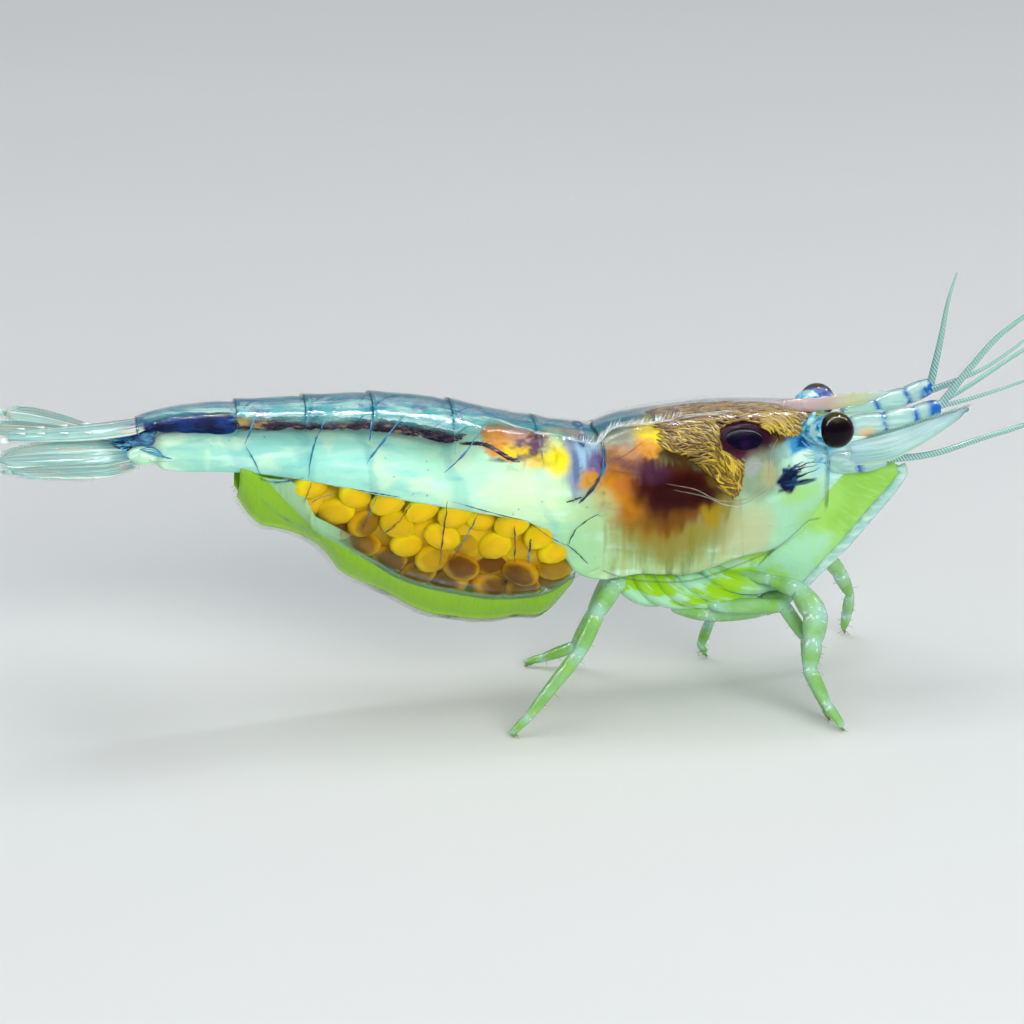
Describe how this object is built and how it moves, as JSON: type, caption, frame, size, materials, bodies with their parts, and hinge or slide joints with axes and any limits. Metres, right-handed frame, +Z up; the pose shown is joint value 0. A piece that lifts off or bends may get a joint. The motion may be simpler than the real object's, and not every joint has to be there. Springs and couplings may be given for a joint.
{
  "type": "aquarium shrimp",
  "caption": "Egg-carrying dwarf freshwater shrimp with a clear shell, yellow clutch, long feelers and a tail fan, standing on its walking legs.",
  "frame": {"origin": "on the floor, under the middle of the whole animal's box, feelers and tail fan included", "axes": "+X forwards along the body towards the head, +Y to the animal's left, +Z up"},
  "size_m": [0.0388, 0.0152, 0.0139],
  "materials": {
    "shell": "clear glossy shell, tinted blue-green",
    "flesh": "wet pale green flesh",
    "eye": "wet black, very glossy",
    "pigment": "glossy deep blue",
    "feeler": "glossy pale teal",
    "leg": "glossy translucent green",
    "egg": "smooth glossy yellow to orange-brown",
    "swimmeret": "thin translucent lime",
    "fan": "thin clear blade, tinted blue-green"
  },
  "bodies": {
    "root": {"abdomen_1": "shell", "abdomen_2": "shell", "abdomen_3": "shell", "abdomen_4": "shell", "abdomen_5": "shell", "abdomen_6": "shell", "carapace": "shell", "head": "shell", "rostrum": "shell", "leg_base": "flesh", "mouth": "pigment", "telson": "fan", "egg_clutch": "egg", "eye_right": "eye", "eyestalk_right": "pigment", "antennule_right": "shell", "feeler_outer_right": "feeler", "feeler_inner_right": "feeler", "antenna_base_right": "shell", "antenna_scale_right": "shell", "whip_right": "feeler", "jaw_leg_right": "leg", "claw_leg_1_right": "leg", "claw_leg_2_right": "leg", "walking_leg_3_right": "leg", "walking_leg_4_right": "leg", "walking_leg_5_right": "leg", "swimmeret_1_right": "swimmeret", "swimmeret_2_right": "swimmeret", "swimmeret_3_right": "swimmeret", "swimmeret_4_right": "swimmeret", "swimmeret_5_right": "swimmeret", "tail_inner_right": "fan", "tail_outer_right": "fan", "eye_left": "eye", "eyestalk_left": "pigment", "antennule_left": "shell", "feeler_outer_left": "feeler", "feeler_inner_left": "feeler", "antenna_base_left": "shell", "antenna_scale_left": "shell", "whip_left": "feeler", "jaw_leg_left": "leg", "claw_leg_1_left": "leg", "claw_leg_2_left": "leg", "walking_leg_3_left": "leg", "walking_leg_4_left": "leg", "walking_leg_5_left": "leg", "swimmeret_1_left": "swimmeret", "swimmeret_2_left": "swimmeret", "swimmeret_3_left": "swimmeret", "swimmeret_4_left": "swimmeret", "swimmeret_5_left": "swimmeret", "tail_inner_left": "fan", "tail_outer_left": "fan"}
  },
  "joints": []
}
